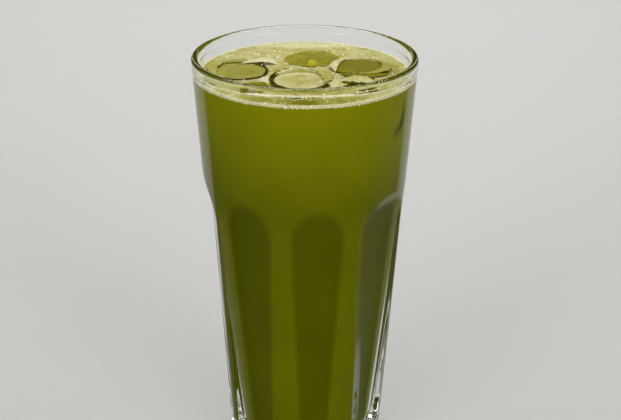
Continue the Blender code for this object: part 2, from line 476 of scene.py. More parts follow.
@dataclass(frozen=True)
class MilkFroth(Finish):
    """Thin milk froth: pale green-cream where it lies thick, olive where the drink shows through, finely bubbled."""

    name: str = "pale_milk_froth"
    thin: str = "#6B6703"
    middle: str = "#9A9548"
    thick: str = "#CCC69C"
    bubble_size: float = 0.7 * MM

    def build(self) -> bpy.types.Material:
        """Give the froth's material, which reads how thick it lies from the attribute film."""
        material, tree, output = self.start()
        place = add(tree, "ShaderNodeTexCoord")
        film = add(tree, "ShaderNodeAttribute", attribute_name="film")
        drift = add(tree, "ShaderNodeTexNoise", {"Vector": place.outputs["Object"], "Scale": 1 / (5 * MM), "Detail": 4.0,
                                                 "Distortion": 0.6})
        stray = add(tree, "ShaderNodeMapRange", {"Value": drift.outputs["Fac"], "From Min": 0.25, "From Max": 0.75,
                                                 "To Min": -0.16, "To Max": 0.16})
        fleck = add(tree, "ShaderNodeTexNoise", {"Vector": place.outputs["Object"], "Scale": 1 / (1.1 * MM),
                                                 "Detail": 1.0})
        speckled = add(tree, "ShaderNodeMapRange", {"Value": fleck.outputs["Fac"], "From Min": 0.3, "From Max": 0.7,
                                                    "To Min": -0.1, "To Max": 0.1})
        both = add(tree, "ShaderNodeMath", {0: stray.outputs[0], 1: speckled.outputs[0]}, operation="ADD")
        amount = add(tree, "ShaderNodeMath", {0: film.outputs["Fac"], 1: both.outputs[0]}, operation="ADD",
                     use_clamp=True)
        shade = add(tree, "ShaderNodeValToRGB", {0: amount.outputs[0]}, stops=(
            (0.0, linear(self.thin)), (1.0, linear(self.thick)), (0.5, linear(self.middle))))
        cells = add(tree, "ShaderNodeTexVoronoi", {"Vector": place.outputs["Object"], "Scale": 1 / self.bubble_size})
        bump = add(tree, "ShaderNodeBump", {"Strength": 0.35, "Distance": 0.15 * MM, "Height": cells.outputs["Distance"]},
                   invert=True)
        wet = add(tree, "ShaderNodeBsdfPrincipled", {"Base Color": shade.outputs[0], "Roughness": 0.35, "IOR": 1.34,
                                                     "Specular IOR Level": 0.1, "Normal": bump.outputs[0]})
        tree.links.new(wet.outputs[0], output.inputs["Surface"])
        return material


@dataclass(frozen=True)
class FrothBubble(Finish):
    """Small bubbles of milk froth: wet, pale, catching a highlight each."""

    name: str = "froth_bubbles"
    dark: str = "#DED8A8"
    colour: str = "#FBF5D2"

    def build(self) -> bpy.types.Material:
        """Give the bubbles' material."""
        material, tree, output = self.start()
        place = add(tree, "ShaderNodeTexCoord")
        vary = add(tree, "ShaderNodeTexNoise", {"Vector": place.outputs["Object"], "Scale": 1 / (1.5 * MM)})
        shade = add(tree, "ShaderNodeValToRGB", {0: vary.outputs["Fac"]}, stops=(
            (0.3, linear(self.dark)), (0.65, linear(self.colour))))
        wet = add(tree, "ShaderNodeBsdfPrincipled", {"Base Color": shade.outputs[0], "Roughness": 0.15, "IOR": 1.34})
        tree.links.new(wet.outputs[0], output.inputs["Surface"])
        return material


@dataclass(frozen=True)
class StudioSweep(Finish):
    """Matt painted sweep, a plain pale grey."""

    name: str = "matt_pale_sweep"
    colour: str = "#B2B1AF"

    def build(self) -> bpy.types.Material:
        """Give the sweep's material."""
        material, tree, output = self.start()
        matt = add(tree, "ShaderNodeBsdfPrincipled", {"Base Color": linear(self.colour), "Roughness": 0.9,
                                                      "Specular IOR Level": 0.1})
        tree.links.new(matt.outputs[0], output.inputs["Surface"])
        return material


@dataclass(frozen=True)
class GlassForm:
    """Sizes of the tall pressed glass, which the drink and froth inside it follow too."""

    height: float = 176 * MM
    rim_radius: float = 44 * MM
    outer_taper: float = 0.0657
    lip_wall: float = 2.85 * MM
    cavity_taper: float = 0.096
    cavity_floor: float = 13 * MM
    cavity_fillet: float = 7 * MM
    foot_rounding: float = 3.5 * MM
    recess_radius: float = 20 * MM
    recess_depth: float = 1.2 * MM
    recess_dome: float = 0.4 * MM
    flute_count: int = 8
    flute_turn: float = math.radians(8.4)
    arch_top: float = (176 - 48.5) * MM
    arch_shoulder: float = (176 - 64) * MM
    fade_start: float = 17 * MM
    fade_end: float = 6 * MM
    half_width_top: float = math.radians(22.1)
    half_width_low: float = math.radians(16.5)
    depth_top: float = 3.0 * MM
    depth_low: float = 4.6 * MM
    edge_softness: float = 0.10
    level: float = (176 - 7.5) * MM
    groove_at: float = (176 - 3.9) * MM
    groove_half: float = 1.3 * MM
    groove_depth: float = 0.16 * MM
    columns: int = 384

    def groove(self, height: float) -> float:
        """Give the depth of the shallow groove that fire polishing leaves under the lip."""
        off = min(abs(height - self.groove_at) / self.groove_half, 1.0)
        return self.groove_depth * (1 + math.cos(math.pi * off)) / 2

    def outer(self, height: float) -> float:
        """Give the outer radius at a height, before the flutes."""
        return self.rim_radius - self.outer_taper * (self.height - height)

    def cavity(self, height: float) -> float:
        """Give the inside radius at a height."""
        return self.rim_radius - self.lip_wall - self.cavity_taper * (self.height - height)

    def flute_share(self, points: np.ndarray, widen: float) -> np.ndarray:
        """Say how far into a flute places near the wall lie.

        Args:
            points: Rows of x, y and z.
            widen: Factor on the flute's width.

        Returns:
            1 in the middle of a flute, 0 on its outline, and less than 0 outside it.
        """
        angle = np.arctan2(points[:, 0], -points[:, 1])
        pitch = math.tau / self.flute_count
        off_centre = (angle - self.flute_turn + pitch / 2) % pitch - pitch / 2
        down = np.clip((self.arch_shoulder - points[:, 2]) / self.arch_shoulder, 0.0, None)
        half_width = self.half_width_top + (self.half_width_low - self.half_width_top) * down
        up = np.clip((points[:, 2] - self.arch_shoulder) / (self.arch_top - self.arch_shoulder), 0.0, None)
        return 1 - (off_centre / (half_width * widen)) ** 2 - up ** 2


class PressedGlass:
    """The tall glass: a turned body, with eight arched flutes pressed in by Geometry Nodes."""

    # Each step gives a name, an operation and what it works on: a number, an input or an earlier step.
    FLUTE_RULE = (
        ("front", "MULTIPLY", "y", -1.0),
        ("angle", "ARCTAN2", "x", "front"),
        ("pitch", "DIVIDE", math.tau, "Count"),
        ("half pitch", "MULTIPLY", "pitch", 0.5),
        ("from first", "SUBTRACT", "angle", "Turn"),
        ("ahead", "ADD", "from first", "half pitch"),
        ("wrapped", "FLOORED_MODULO", "ahead", "pitch"),
        ("off centre", "SUBTRACT", "wrapped", "half pitch"),
        ("below", "SUBTRACT", "Arch Shoulder", "z"),
        ("below share", "DIVIDE", "below", "Arch Shoulder"),
        ("down", "MAXIMUM", "below share", 0.0),
        ("width change", "SUBTRACT", "Half Width Low", "Half Width Top"),
        ("width gone", "MULTIPLY", "width change", "down"),
        ("half width", "ADD", "Half Width Top", "width gone"),
        ("depth change", "SUBTRACT", "Depth Low", "Depth Top"),
        ("depth gone", "MULTIPLY", "depth change", "down"),
        ("depth", "ADD", "Depth Top", "depth gone"),
        ("above", "SUBTRACT", "z", "Arch Shoulder"),
        ("arch", "SUBTRACT", "Arch Top", "Arch Shoulder"),
        ("above share", "DIVIDE", "above", "arch"),
        ("up", "MAXIMUM", "above share", 0.0),
        ("up square", "MULTIPLY", "up", "up"),
        ("across", "DIVIDE", "off centre", "half width"),
        ("across square", "MULTIPLY", "across", "across"),
        ("reach", "ADD", "across square", "up square"),
        ("inside", "SUBTRACT", 1.0, "reach"),
        ("inside square", "MULTIPLY", "inside", "inside"),
        ("softness square", "MULTIPLY", "Softness", "Softness"),
        ("rounded square", "ADD", "inside square", "softness square"),
        ("rounded", "SQRT", "rounded square", 0.0),
        ("both", "ADD", "inside", "rounded"),
        ("press", "MULTIPLY", "both", 0.5),
        ("above fade", "SUBTRACT", "z", "Fade End"),
        ("fade length", "SUBTRACT", "Fade Start", "Fade End"),
        ("fade share", "DIVIDE", "above fade", "fade length"),
        ("fade", "SMOOTH_MIN", "fade share", 1.0),
        ("faded in", "MAXIMUM", "fade", 0.0),
        ("pressed", "MULTIPLY", "press", "faded in"),
        ("pressed in", "MULTIPLY", "pressed", "depth"),
        ("on the wall", "MULTIPLY", "pressed in", "outer wall"),
        ("x square", "MULTIPLY", "x", "x"),
        ("y square", "MULTIPLY", "y", "y"),
        ("radius square", "ADD", "x square", "y square"),
        ("radius", "SQRT", "radius square", 0.0),
        ("radius kept", "MAXIMUM", "radius", 0.001),
        ("share", "DIVIDE", "on the wall", "radius kept"),
        ("inwards", "MULTIPLY", "share", -1.0),
    )

    def __init__(self, form: GlassForm, finish: PressedSodaLime) -> None:
        """Keep the sizes and the finish."""
        self.form = form
        self.finish = finish

    def inner_profile(self) -> Profile:
        """Give the outline of the inside, from its floor to the lip."""
        form = self.form
        fillet_height = form.cavity_floor + form.cavity_fillet
        points = [(0.0, form.cavity_floor)]
        fillet_radius = form.cavity(fillet_height) - form.cavity_fillet
        points += [(radius, form.cavity_floor) for radius in spread(0.0, fillet_radius, 6 * MM)[1:-1]]
        points += arc(fillet_radius, fillet_height, form.cavity_fillet, -90, 0, 12)
        lip_low = form.height - form.lip_wall / 2
        return points + [(form.cavity(z), z) for z in spread(fillet_height, lip_low, 9 * MM)[1:-1]]

    def outer_profile(self) -> Profile:
        """Give the outline of the lip, the outer wall and the foot."""
        form = self.form
        lip = form.lip_wall / 2
        lip_height = form.height - lip
        points = arc(form.outer(lip_height) - lip, lip_height, lip, 180, 0, 24)
        heights = spread(lip_height, form.groove_at - form.groove_half, 0.12 * MM)[1:]
        heights += spread(heights[-1], form.arch_top + 3 * MM, 5 * MM)[1:]
        heights += spread(heights[-1], form.arch_shoulder, 0.55 * MM)[1:]
        heights += spread(form.arch_shoulder, form.fade_start, 3 * MM)[1:]
        heights += spread(form.fade_start, form.foot_rounding, 0.9 * MM)[1:-1]
        points += [(form.outer(z) - form.groove(z), z) for z in heights]
        foot_radius = form.outer(form.foot_rounding) - form.foot_rounding
        points += arc(foot_radius, form.foot_rounding, form.foot_rounding, 0, -90, 8)
        dome = [(form.recess_radius * (1 - share), form.recess_depth + form.recess_dome * math.sin(share * math.pi / 2))
                for share in (0.25, 0.5, 0.75)]
        return points + [(form.recess_radius, 0.0), (form.recess_radius - form.recess_depth, form.recess_depth),
                         *dome, (0.0, form.recess_depth + form.recess_dome)]

    def flute_tree(self) -> bpy.types.NodeTree:
        """Give the tree that presses the flutes in."""
        numbers = ("Count", "Turn", "Arch Top", "Arch Shoulder", "Fade Start", "Fade End", "Half Width Top",
                   "Half Width Low", "Depth Top", "Depth Low", "Softness")
        tree, wires = new_tree("press_flutes", {name: "NodeSocketFloat" for name in numbers}
                               | {"Material": "NodeSocketMaterial"})
        position = add(tree, "GeometryNodeInputPosition")
        axes = add(tree, "ShaderNodeSeparateXYZ", {0: position.outputs[0]})
        wires |= {"x": axes.outputs[0], "y": axes.outputs[1], "z": axes.outputs[2]}
        wires["outer wall"] = add(tree, "GeometryNodeInputNamedAttribute", {"Name": "outer_wall"},
                                  data_type="FLOAT").outputs["Attribute"]
        for name, operation, first, second in self.FLUTE_RULE:
            sources = {0: wires.get(first, first), 1: wires.get(second, second)}
            if operation == "SMOOTH_MIN":
                sources[2] = 0.25
            wires[name] = add(tree, "ShaderNodeMath", sources, operation=operation).outputs[0]
        outwards = add(tree, "ShaderNodeCombineXYZ", {0: wires["x"], 1: wires["y"]})
        offset = add(tree, "ShaderNodeVectorMath", {0: outwards.outputs[0], 3: wires["inwards"]}, operation="SCALE")
        pressed = add(tree, "GeometryNodeSetPosition", {"Geometry": wires["Geometry"], "Offset": offset.outputs[0]})
        real = add(tree, "GeometryNodeRealizeInstances", {0: pressed.outputs[0]})
        dressed = add(tree, "GeometryNodeSetMaterial", {"Geometry": real.outputs[0], "Material": wires["Material"]})
        add(tree, "NodeGroupOutput", {0: dressed.outputs[0]})
        return tree

    def build(self) -> None:
        """Make the glass and hand it over."""
        form = self.form
        inner, outer = self.inner_profile(), self.outer_profile()
        glass = lathe("tall_glass", inner + outer, form.columns)
        points = places(glass)
        radii = np.hypot(points[:, 0], points[:, 1])
        walls = form.rim_radius - form.outer_taper * (form.height - points[:, 2])
        write_attribute(glass, "outer_wall", (radii > walls - 0.2 * MM) * (points[:, 2] < form.height - 2 * MM) * 1.0)
        run_tree(glass, self.flute_tree(), {
            "Count": float(form.flute_count), "Turn": form.flute_turn, "Arch Top": form.arch_top,
            "Arch Shoulder": form.arch_shoulder, "Fade Start": form.fade_start, "Fade End": form.fade_end,
            "Half Width Top": form.half_width_top, "Half Width Low": form.half_width_low,
            "Depth Top": form.depth_top, "Depth Low": form.depth_low, "Softness": form.edge_softness,
            "Material": self.finish.build()})
        hand_over(glass, Slot.GLASS, ("glass",), sharp=50)


@dataclass(frozen=True)
class IceForm:
    """One piece of thimble ice: where its top stands, how big it is, and how it leans and has melted.

    Lengths are in millimetres, the top is above the drink's level, and angles are in degrees.
    """

    name: str
    x: float
    y: float
    top: float
    radius: float
    height: float
    dish: float
    lean: float
    towards: float
    melt_turn: float

    RIM = 0.8
    LOW_EDGE = 4.8
    TAPER = 0.22
    MELT = 0.025

    def rim_arc(self, steps: int) -> Profile:
        """Give the rounded upper edge, with the top at height 0."""
        return arc(self.radius - self.RIM, -self.RIM, self.RIM, 90, 0, steps)

    def low_edge(self) -> float:
        """Give the rounding of the lower edge, in millimetres."""
        return min(self.LOW_EDGE, 0.7 * self.radius)

    def low_arc(self, steps: int) -> Profile:
        """Give the rounded lower edge."""
        low_edge = self.low_edge()
        low_radius = self.radius - self.TAPER * (self.height - low_edge)
        return arc(low_radius - low_edge, low_edge - self.height, low_edge, 0, -90, steps)

    def side(self, step: float) -> Profile:
        """Give the slanted side between the two rounded edges, no further apart than a step."""
        return [(self.radius - self.TAPER * down, -self.RIM - down)
                for down in spread(0.0, self.height - self.RIM - self.low_edge(), step)[1:-1]]

    def profile(self) -> Profile:
        """Give the whole outline in millimetres, dish included."""
        dish = [(self.dish_radius() * share, self.dish_depth(share)) for share in np.linspace(0.0, 1.0, 18)]
        return dish + self.rim_arc(8) + self.side(1.5) + self.low_arc(8) + [(0.0, -self.height)]

    def dish_radius(self) -> float:
        """Give the radius of the dish in the top, in millimetres."""
        return self.radius - 1.4 * self.RIM

    def dish_depth(self, share: float | np.ndarray) -> float | np.ndarray:
        """Give the dish's height at a share of its radius, in millimetres from the rim."""
        power = 4 if self.dish > 1 else 2
        return -self.dish * (1 - share ** power)

    def at_level(self) -> float:
        """Give the radius where the drink's level crosses the ice, in millimetres."""
        drop = max(self.RIM - self.top, 0.0)
        return self.radius - self.RIM + math.sqrt(max(self.RIM ** 2 - drop ** 2, 0.0))

    def pocket_profile(self, shrink: float) -> Profile:
        """Give the outline of the hollow that the ice keeps clear, run on past the surface.

        Args:
            shrink: How much smaller it is than the ice, in millimetres.

        Returns:
            The outline in millimetres.
        """
        upper = self.rim_arc(8) + self.side(4.0)
        sides = [(radius - shrink, height) for radius, height in upper if height < -self.top - 0.1]
        low = [(radius - shrink, height + shrink) for radius, height in self.low_arc(5)]
        neck = self.at_level() - shrink
        return [(0.0, 5.0), (neck, 5.0), (neck, -self.top), *sides, *low, (0.0, shrink - self.height)]

    def melted(self, points: np.ndarray) -> np.ndarray:
        """Make a turned shape uneven round its axis, as melting leaves it.

        Args:
            points: Rows of x, y and z about the ice's own axis.

        Returns:
            The moved points.
        """
        angle = np.arctan2(points[:, 1], points[:, 0]) + math.radians(self.melt_turn)
        scale = 1 + self.MELT * (np.cos(2 * angle) + 0.6 * np.cos(3 * angle + 1))
        return points * np.stack([scale, scale, np.ones_like(scale)], 1)

    def placed(self, points: np.ndarray, level: float) -> np.ndarray:
        """Put a shape about the ice's own axis where the ice floats.

        Args:
            points: Rows of x, y and z, in metres.
            level: Height of the drink's surface, in metres.

        Returns:
            The points in the glass.
        """
        towards = math.radians(self.towards)
        lean = Matrix.Rotation(math.radians(self.lean), 3, (-math.sin(towards), math.cos(towards), 0.0))
        return points @ np.array(lean).T + np.array([self.x * MM, self.y * MM, level + self.top * MM])

    def turned(self, name: str, profile: Profile, columns: int, level: float) -> bpy.types.Object:
        """Turn an outline about the ice's axis, melt it and put it in its place.

        Args:
            name: Name of the piece.
            profile: The outline in millimetres.
            columns: Number of faces round the axis.
            level: Height of the drink's surface, in metres.

        Returns:
            The new object.
        """
        piece = lathe(name, [(radius * MM, height * MM) for radius, height in profile], columns)
        move_to(piece, self.placed(self.melted(places(piece)), level))
        return piece


ICE = (
    IceForm("ice_left", -25.6, 0.4, 1.5, 11.4, 25, 2.2, 4, -80, 20),
    IceForm("ice_centre", -1.7, -13.9, 2.1, 12.2, 26, 2.4, 2, -60, 75),
    IceForm("ice_back", 3.0, 16.8, 0.5, 10.6, 25, 0.5, 0, 0, 130),
    IceForm("ice_right", 21.8, 4.4, 1.7, 10.8, 24, 2.0, 3, 150, 205),
    IceForm("ice_front_right", 20.0, -14.6, 1.2, 7.5, 16, -0.8, 3, -45, 260),
    IceForm("ice_front_left", -18.6, -20.8, 1.2, 5.2, 10, -0.6, 6, -120, 310),
)


class FloatingIce:
    """The pieces of ice that break the surface."""

    def __init__(self, form: GlassForm, pieces: tuple[IceForm, ...], material: bpy.types.Material) -> None:
        """Keep the sizes and the material."""
        self.form = form
        self.pieces = pieces
        self.material = material

    def roughened(self, points: np.ndarray, turn: float) -> np.ndarray:
        """Add the soft hollows that melting leaves.

        Args:
            points: Rows of x, y and z, in metres.
            turn: A number that makes each piece different.

        Returns:
            The moved points.
        """
        x, y, z = (points[:, axis] / MM for axis in range(3))
        wave = np.sin(x * 0.52 + turn) * np.sin(y * 0.47 + 1.3 * turn) + 0.5 * np.sin(x * 1.1 - y * 0.9 + turn + z * 0.3)
        moved = points.copy()
        moved[:, 2] += 0.14 * MM * wave
        return moved

    def build(self) -> None:
        """Make each piece of ice and hand it over."""
        for number, ice in enumerate(self.pieces):
            piece = ice.turned(f"melting_{ice.name}", ice.profile(), 96, self.form.level)
            move_to(piece, self.roughened(places(piece), 1.7 * number))
            piece.data.materials.append(self.material)
            hand_over(piece, Slot.ICE, (ice.name,), sharp=60)


class Drink:
    """The drink itself: it fills the glass to the level and reaches just into the wall."""

    INTO_WALL = 0.15 * MM
    POCKET_SHRINK = 0.12

    def __init__(self, form: GlassForm, ice: tuple[IceForm, ...], side: MatchaAtGlass, top: MatchaSurface) -> None:
        """Keep the sizes and finishes."""
        self.form = form
        self.ice = ice
        self.side = side
        self.top = top

    def painted_shade_beside_ice(self, points: np.ndarray) -> np.ndarray:
        """Say where painted shade darkens the drink at the right, standing in for a piece of ice that lies close behind
        the wall.

        Args:
            points: Rows of x, y and z, in metres.

        Returns:
            1 along the line where the ice comes nearest, and 0 away from it.
        """
        around = np.arctan2(points[:, 0], -points[:, 1]) * self.form.cavity(self.form.level) / MM
        down = (self.form.level - points[:, 2]) / MM
        nearest = 44.5 - 1.2 * np.clip((down - 9) / 7, 0, 1) ** 2
        line = np.exp(-((around - nearest) / 1.3) ** 2) * smooth_step(down, 2, 12) * (1 - smooth_step(down, 13, 17))
        across, under = around - 41.6, down - 15.6
        foot = np.exp(-(across / 2.6) ** 2 - ((under + 0.5 * across) / 2.2) ** 2)
        return np.clip(line + 0.8 * foot, 0.0, 1.0)

    def profile(self) -> Profile:
        """Give the drink's outline, from the middle of its surface to the middle of its bottom."""
        form = self.form
        into = self.INTO_WALL
        fillet_height = form.cavity_floor + form.cavity_fillet
        fillet_radius = form.cavity(fillet_height) - form.cavity_fillet
        points = [(0.0, form.level)]
        points += [(form.cavity(z) + into, z) for z in spread(form.level, fillet_height, 1.1 * MM)[:-1]]
        points += arc(fillet_radius, fillet_height, form.cavity_fillet + into, 0, -90, 12)
        return points + [(0.0, form.cavity_floor - into)]

    def build(self) -> None:
        """Make the drink and hand it over."""
        form = self.form
        drink = lathe("matcha_drink", self.profile(), 320)
        carve(drink, [ice.turned(f"{ice.name}_pocket", ice.pocket_profile(self.POCKET_SHRINK), 64, form.level)
                      for ice in self.ice])
        points = places(drink)
        # Painted shade: how far behind a flute each place of the drink lies, darkening it there.
        write_attribute(drink, "painted_shade_behind_flute", smooth_step(form.flute_share(points, 0.88), 0.0, 0.5))
        # Painted shade at the right, standing in for sunk ice close behind the wall.
        write_attribute(drink, "painted_shade_beside_ice", self.painted_shade_beside_ice(points))
        drink.data.materials.append(self.side.build())
        drink.data.materials.append(self.top.build())
        for face in drink.data.polygons:
            out = Vector((face.center.x, face.center.y, 0.0)).length
            at_wall = out > form.cavity(face.center.z) - 0.1 * MM or face.center.z < form.cavity_floor + 7 * MM
            face.material_index = 0 if at_wall and face.normal.z < 0.5 else 1
        hand_over(drink, Slot.MATCHA, ("drink",), sharp=35)


@dataclass(frozen=True)
class Patch:
    """A patch of the surface where the froth lies thicker or thinner.

    Lengths are in millimetres and the turn in degrees. The film goes from 0, bare drink, to 1, thick froth.
    """

    x: float
    y: float
    half_length: float
    half_width: float
    turn: float
    film: float
    strength: float = 1.0

    def pull(self, points: np.ndarray) -> np.ndarray:
        """Say how strongly the patch sets the film at each place.

        Args:
            points: Rows of x, y and z, in metres.

        Returns:
            Values from 0 to strength.
        """
        angle = math.radians(self.turn)
        along_x, along_y = points[:, 0] / MM - self.x, points[:, 1] / MM - self.y
        u = (along_x * math.cos(angle) + along_y * math.sin(angle)) / self.half_length
        v = (-along_x * math.sin(angle) + along_y * math.cos(angle)) / self.half_width
        return self.strength * (1 - smooth_step(np.hypot(u, v), 0.55, 1.15))


class Froth:
    """The froth on the surface: a thin film with a hole at each piece of ice, a foam line at the wall, and bubbles."""

    BASE_FILM = 0.62
    PATCHES = (
        Patch(-36.5, 4.0, 14.0, 3.6, 90, 0.45),
        Patch(-15.0, 12.5, 6.0, 3.0, 20, 0.80),
        Patch(-15.0, -9.5, 7.5, 3.0, -60, 1.0),
        Patch(10.5, -13.5, 6.5, 3.2, 60, 0.98),
        Patch(34.0, 2.5, 10.0, 3.5, 90, 0.35),
        Patch(0.0, -35.0, 30.0, 6.5, 0, 0.3),
        Patch(1.0, -36.8, 6.0, 3.4, 0, 0.0),
        Patch(0.0, 29.5, 22.0, 1.2, 0, 0.45, 0.7),
        Patch(0.0, 36.0, 26.0, 4.0, 0, 0.92, 0.8),
        Patch(9.5, 1.5, 4.0, 2.6, 80, 0.55),
        Patch(-9.5, 1.8, 4.0, 2.0, 30, 0.35),
    )

    def __init__(self, form: GlassForm, ice: tuple[IceForm, ...], film: bpy.types.Material,
                 bubble: bpy.types.Material) -> None:
        """Keep the sizes, and the materials of the film and of the bubbles."""
        self.form = form
        self.ice = ice
        self.film = film
        self.bubble = bubble

    def from_ice(self, points: np.ndarray) -> np.ndarray:
        """Give the distance from each place to the nearest ice at the surface, in millimetres.

        Args:
            points: Rows of x, y and z, in metres.

        Returns:
            One distance for each place, less than 0 inside the ice.
        """
        nearest = np.full(len(points), 1e3)
        for ice in self.ice:
            away_x, away_y = points[:, 0] / MM - ice.x, points[:, 1] / MM - ice.y
            angle = np.arctan2(away_y, away_x) + math.radians(ice.melt_turn)
            radius = ice.at_level() * (1 + ice.MELT * (np.cos(2 * angle) + 0.6 * np.cos(3 * angle + 1)))
            nearest = np.minimum(nearest, np.hypot(away_x, away_y) - radius)
        return nearest

    def film_at(self, points: np.ndarray) -> np.ndarray:
        """Give how thick the froth lies, from 0 to 1.

        Args:
            points: Rows of x, y and z, in metres.

        Returns:
            One value for each place.
        """
        film = np.full(len(points), self.BASE_FILM)
        for patch in self.PATCHES:
            pull = patch.pull(points)
            film = film * (1 - pull) + patch.film * pull
        edge = smooth_step(self.from_ice(points), 0.0, 1.3)
        radius = np.hypot(points[:, 0], points[:, 1])
        wall = smooth_step(radius, self.form.cavity(self.form.level) - 1.0 * MM, self.form.cavity(self.form.level))
        return film * (0.8 + 0.2 * edge) * (1 - wall) + wall

    def film_top(self, points: np.ndarray) -> np.ndarray:
        """Give the height of the film's upper side.

        Args:
            points: Rows of x, y and z, in metres.

        Returns:
            One height for each place, in metres.
        """
        form = self.form
        radius = np.hypot(points[:, 0], points[:, 1])
        climb = smooth_step(radius, form.cavity(form.level) - 2.4 * MM, form.cavity(form.level)) ** 2
        swell = np.sin(points[:, 0] / (5.1 * MM)) * np.sin(points[:, 1] / (4.3 * MM) + 0.8)
        thin = smooth_step(self.from_ice(points), -0.3, 2.0)
        return form.level + (0.22 + 0.42 * thin + 0.06 * swell + 0.2 * climb) * MM

    def make_film(self) -> bpy.types.Object:
        """Give the film as one closed sheet, sunk a little in the drink, with the ice cut out of it."""
        form = self.form
        edge = form.cavity(form.level) + 0.15 * MM
        low = form.level - 0.25 * MM
        radii = spread(0.0, edge - 3 * MM, 0.8 * MM) + spread(edge - 3 * MM, edge, 0.3 * MM)[1:]
        profile = [(radius, form.level + 1 * MM) for radius in radii] + [(edge, low), (0.0, low)]
        film = lathe("milk_froth", profile, 224)
        points = places(film)
        upper = points[:, 2] > form.level
        points[upper, 2] = self.film_top(points)[upper]
        move_to(film, points)
        holes = []
        for ice in self.ice:
            neck = ice.at_level() - 0.15
            hole = ice.turned(f"{ice.name}_hole", [(0.0, 6.0), (neck, 6.0), (neck, -6.0), (0.0, -6.0)], 96, form.level)
            holes.append(hole)
        carve(film, holes)
        return film

    def bubble_tree(self) -> bpy.types.NodeTree:
        """Give the tree that scatters bubbles over a surface."""
        tree, wires = new_tree("scatter_bubbles", {
            "Density": "NodeSocketFloat", "Smallest": "NodeSocketFloat", "Largest": "NodeSocketFloat",
            "Sink": "NodeSocketFloat", "Seed": "NodeSocketInt", "Material": "NodeSocketMaterial"})
        share = add(tree, "GeometryNodeInputNamedAttribute", {"Name": "bubbly"}, data_type="FLOAT")
        density = add(tree, "ShaderNodeMath", {0: share.outputs["Attribute"], 1: wires["Density"]}, operation="MULTIPLY")
        spots = add(tree, "GeometryNodeDistributePointsOnFaces",
                    {"Mesh": wires["Geometry"], "Density": density.outputs[0], "Seed": wires["Seed"]})
        chance = add(tree, "FunctionNodeRandomValue", {"Seed": wires["Seed"]}, data_type="FLOAT")
        often_small = add(tree, "ShaderNodeMath", {0: chance.outputs["Value"], 1: 2.5}, operation="POWER")
        size = add(tree, "ShaderNodeMapRange", {"Value": often_small.outputs[0], "To Min": wires["Smallest"],
                                                "To Max": wires["Largest"]})
        sink = add(tree, "ShaderNodeMath", {0: size.outputs[0], 1: wires["Sink"]}, operation="MULTIPLY")
        down = add(tree, "ShaderNodeVectorMath", {0: spots.outputs["Normal"], 3: sink.outputs[0]}, operation="SCALE")
        settled = add(tree, "GeometryNodeSetPosition", {"Geometry": spots.outputs["Points"], "Offset": down.outputs[0]})
        ball = add(tree, "GeometryNodeMeshUVSphere", {"Segments": 8, "Rings": 5, "Radius": 1.0})
        placed = add(tree, "GeometryNodeInstanceOnPoints", {"Points": settled.outputs[0], "Instance": ball.outputs[0],
                                                            "Scale": size.outputs[0]})
        real = add(tree, "GeometryNodeRealizeInstances", {0: placed.outputs[0]})
        dressed = add(tree, "GeometryNodeSetMaterial", {"Geometry": real.outputs[0], "Material": wires["Material"]})
        add(tree, "NodeGroupOutput", {0: dressed.outputs[0]})
        return tree

    def foam_line(self) -> bpy.types.Object:
        """Give the open band at the wall that the foam line's bubbles sit on."""
        form = self.form
        heights = spread(form.level - 0.6 * MM, form.level + 0.9 * MM, 0.2 * MM)
        return self.open_band("foam_line_bubbles", [(form.cavity(z) + 0.05 * MM, z) for z in heights])

    def wall_splash(self) -> bpy.types.Object:
        """Give the open band above the level, where small drops and bubbles cling to the glass."""
        form = self.form
        heights = spread(form.level + 1.2 * MM, form.level + 5.2 * MM, 0.5 * MM)
        return self.open_band("clinging_drops", [(form.cavity(z) - 0.02 * MM, z) for z in heights])

    def open_band(self, name: str, profile: Profile) -> bpy.types.Object:
        """Turn an open outline about Z, facing the axis.

        Args:
            name: Name of the object.
            profile: Radius and height pairs.

        Returns:
            The new object, with the attribute bubbly.
        """
        columns = 180
        points = [(radius * math.cos(math.tau * step / columns), radius * math.sin(math.tau * step / columns), height)
                  for radius, height in profile for step in range(columns)]
        faces = [(row * columns + step, (row + 1) * columns + step, (row + 1) * columns + (step + 1) % columns,
                  row * columns + (step + 1) % columns) for row in range(len(profile) - 1) for step in range(columns)]
        mesh = bpy.data.meshes.new(name)
        mesh.from_pydata(points, [], faces)
        band = bpy.data.objects.new(name, mesh)
        bpy.context.scene.collection.objects.link(band)
        return band

    def scatter(self, surface: bpy.types.Object, share: np.ndarray, density: float, smallest: float, largest: float,
                sink: float, seed: int) -> None:
        """Turn a surface into the bubbles scattered over it.

        Args:
            surface: The object that becomes the bubbles.
            share: How bubbly each of its vertices is, from 0 to 1.
            density: Bubbles for each square millimetre where share is 1.
            smallest: Radius of the smallest bubble, in metres.
            largest: Radius of the largest, in metres.
            sink: How far a bubble stands out along the surface's normal, in radii.
            seed: Seed for the random draws.
        """
        write_attribute(surface, "bubbly", share)
        run_tree(surface, self.bubble_tree(), {"Density": density / MM ** 2, "Smallest": smallest, "Largest": largest,
                                               "Sink": sink, "Seed": seed, "Material": self.bubble})
        hand_over(surface, Slot.FROTH, sharp=180)

